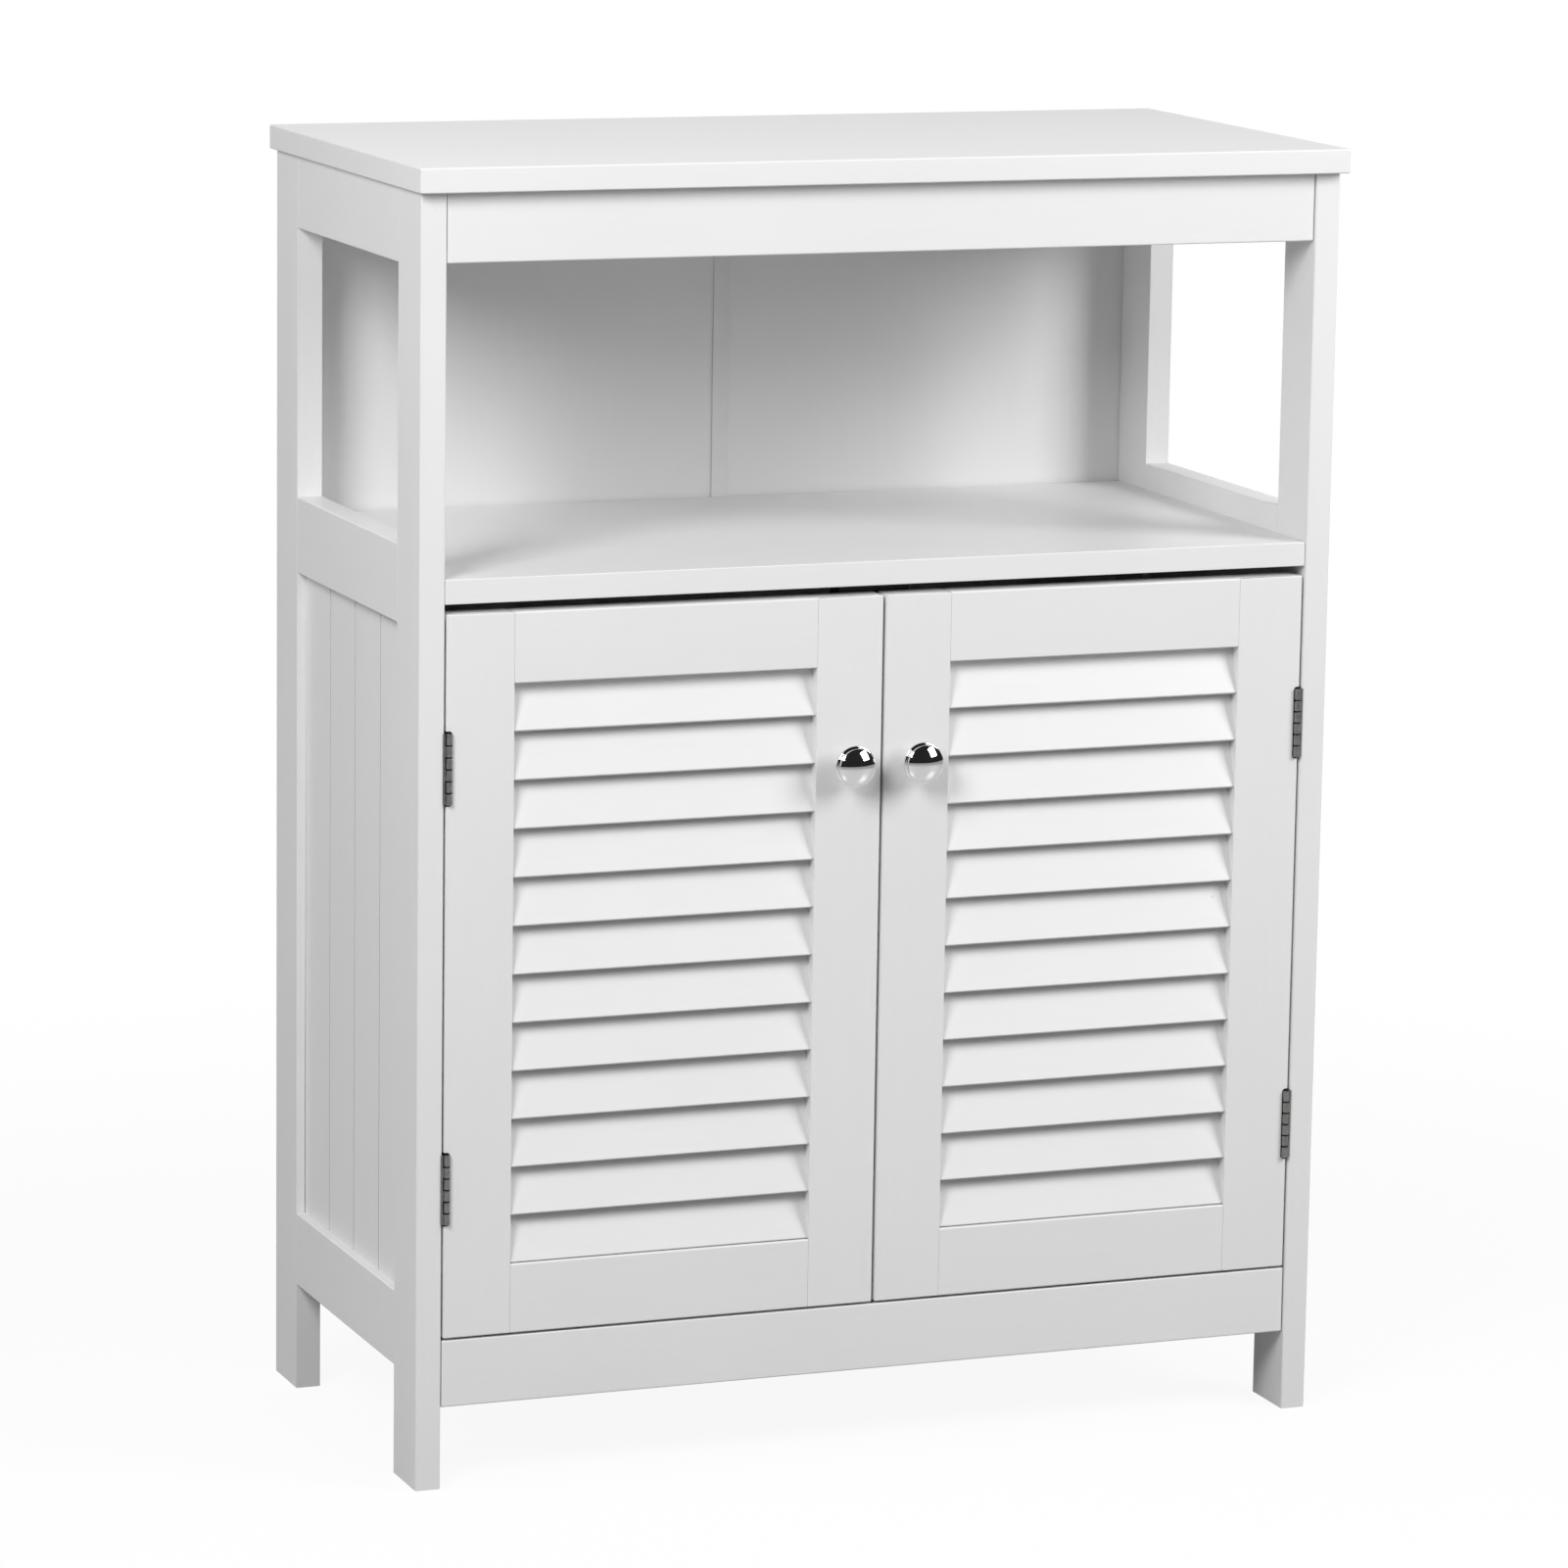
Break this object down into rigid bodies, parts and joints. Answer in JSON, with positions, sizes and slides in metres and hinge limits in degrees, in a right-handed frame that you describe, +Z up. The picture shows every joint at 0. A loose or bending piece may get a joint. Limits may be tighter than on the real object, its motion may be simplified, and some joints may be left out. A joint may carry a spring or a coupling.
{
  "type": "louvred door cabinet",
  "caption": "White freestanding bathroom cabinet: an open compartment with side windows over a cupboard with louvred doors, round chrome knobs and grooved side panels.",
  "frame": {"origin": "on the floor, under the middle of the whole cabinet with its knobs counted in the depth", "axes": "+X to the cabinet's right as seen from the front, +Y to the back, +Z up"},
  "size_m": [0.6, 0.311, 0.8],
  "materials": {
    "white_paint": "satin white paint over board",
    "white_plastic": "smooth",
    "dark_plastic": "smooth",
    "chrome": "polished",
    "hinge_steel": "dull dark nickel",
    "zinc_steel": "zinc plated"
  },
  "bodies": {
    "root": {"top_panel": "white_paint", "front_top_rail": "white_paint", "front_bottom_rail": "white_paint", "middle_shelf": "white_paint", "bottom_panel": "white_paint", "back_joining_strip": "white_plastic", "catch_housing": "dark_plastic", "left_front_leg": "white_paint", "left_back_leg": "white_paint", "left_side_top_rail": "white_paint", "left_side_middle_rail": "white_paint", "left_side_bottom_rail": "white_paint", "left_grooved_panel": "white_paint", "back_panel_left": "white_paint", "left_catch_magnet": "zinc_steel", "left_front_shelf_pin": "zinc_steel", "left_back_shelf_pin": "zinc_steel", "left_lower_hinge_cabinet_leaf": "hinge_steel", "left_lower_hinge_pin": "hinge_steel", "left_upper_hinge_cabinet_leaf": "hinge_steel", "left_upper_hinge_pin": "hinge_steel", "right_front_leg": "white_paint", "right_back_leg": "white_paint", "right_side_top_rail": "white_paint", "right_side_middle_rail": "white_paint", "right_side_bottom_rail": "white_paint", "right_grooved_panel": "white_paint", "back_panel_right": "white_paint", "right_catch_magnet": "zinc_steel", "right_front_shelf_pin": "zinc_steel", "right_back_shelf_pin": "zinc_steel", "right_lower_hinge_cabinet_leaf": "hinge_steel", "right_lower_hinge_pin": "hinge_steel", "right_upper_hinge_cabinet_leaf": "hinge_steel", "right_upper_hinge_pin": "hinge_steel"},
    "left_door": {"left_door_hinge_stile": "white_paint", "left_door_meeting_stile": "white_paint", "left_door_top_rail": "white_paint", "left_door_bottom_rail": "white_paint", "left_louvre_pack": "white_paint", "left_knob": "chrome", "left_knob_screw": "zinc_steel", "left_strike_plate": "zinc_steel", "left_lower_hinge_door_leaf": "hinge_steel", "left_upper_hinge_door_leaf": "hinge_steel"},
    "right_door": {"right_door_hinge_stile": "white_paint", "right_door_meeting_stile": "white_paint", "right_door_top_rail": "white_paint", "right_door_bottom_rail": "white_paint", "right_louvre_pack": "white_paint", "right_knob": "chrome", "right_knob_screw": "zinc_steel", "right_strike_plate": "zinc_steel", "right_lower_hinge_door_leaf": "hinge_steel", "right_upper_hinge_door_leaf": "hinge_steel"},
    "adjustable_shelf": {"adjustable_shelf": "white_paint"}
  },
  "joints": [
    {"name": "left_door_hinge", "type": "hinge", "parent": "root", "child": "left_door", "pos_m": [-0.278, -0.137, 0.31425], "axis": [0, 0, -1], "range_deg": [0, 175]},
    {"name": "right_door_hinge", "type": "hinge", "parent": "root", "child": "right_door", "pos_m": [0.278, -0.137, 0.31425], "axis": [0, 0, 1], "range_deg": [0, 175]},
    {"name": "adjustable_shelf_lift", "type": "slide", "parent": "root", "child": "adjustable_shelf", "axis": [0, 0, 1], "range_m": [0, 0.06]}
  ]
}
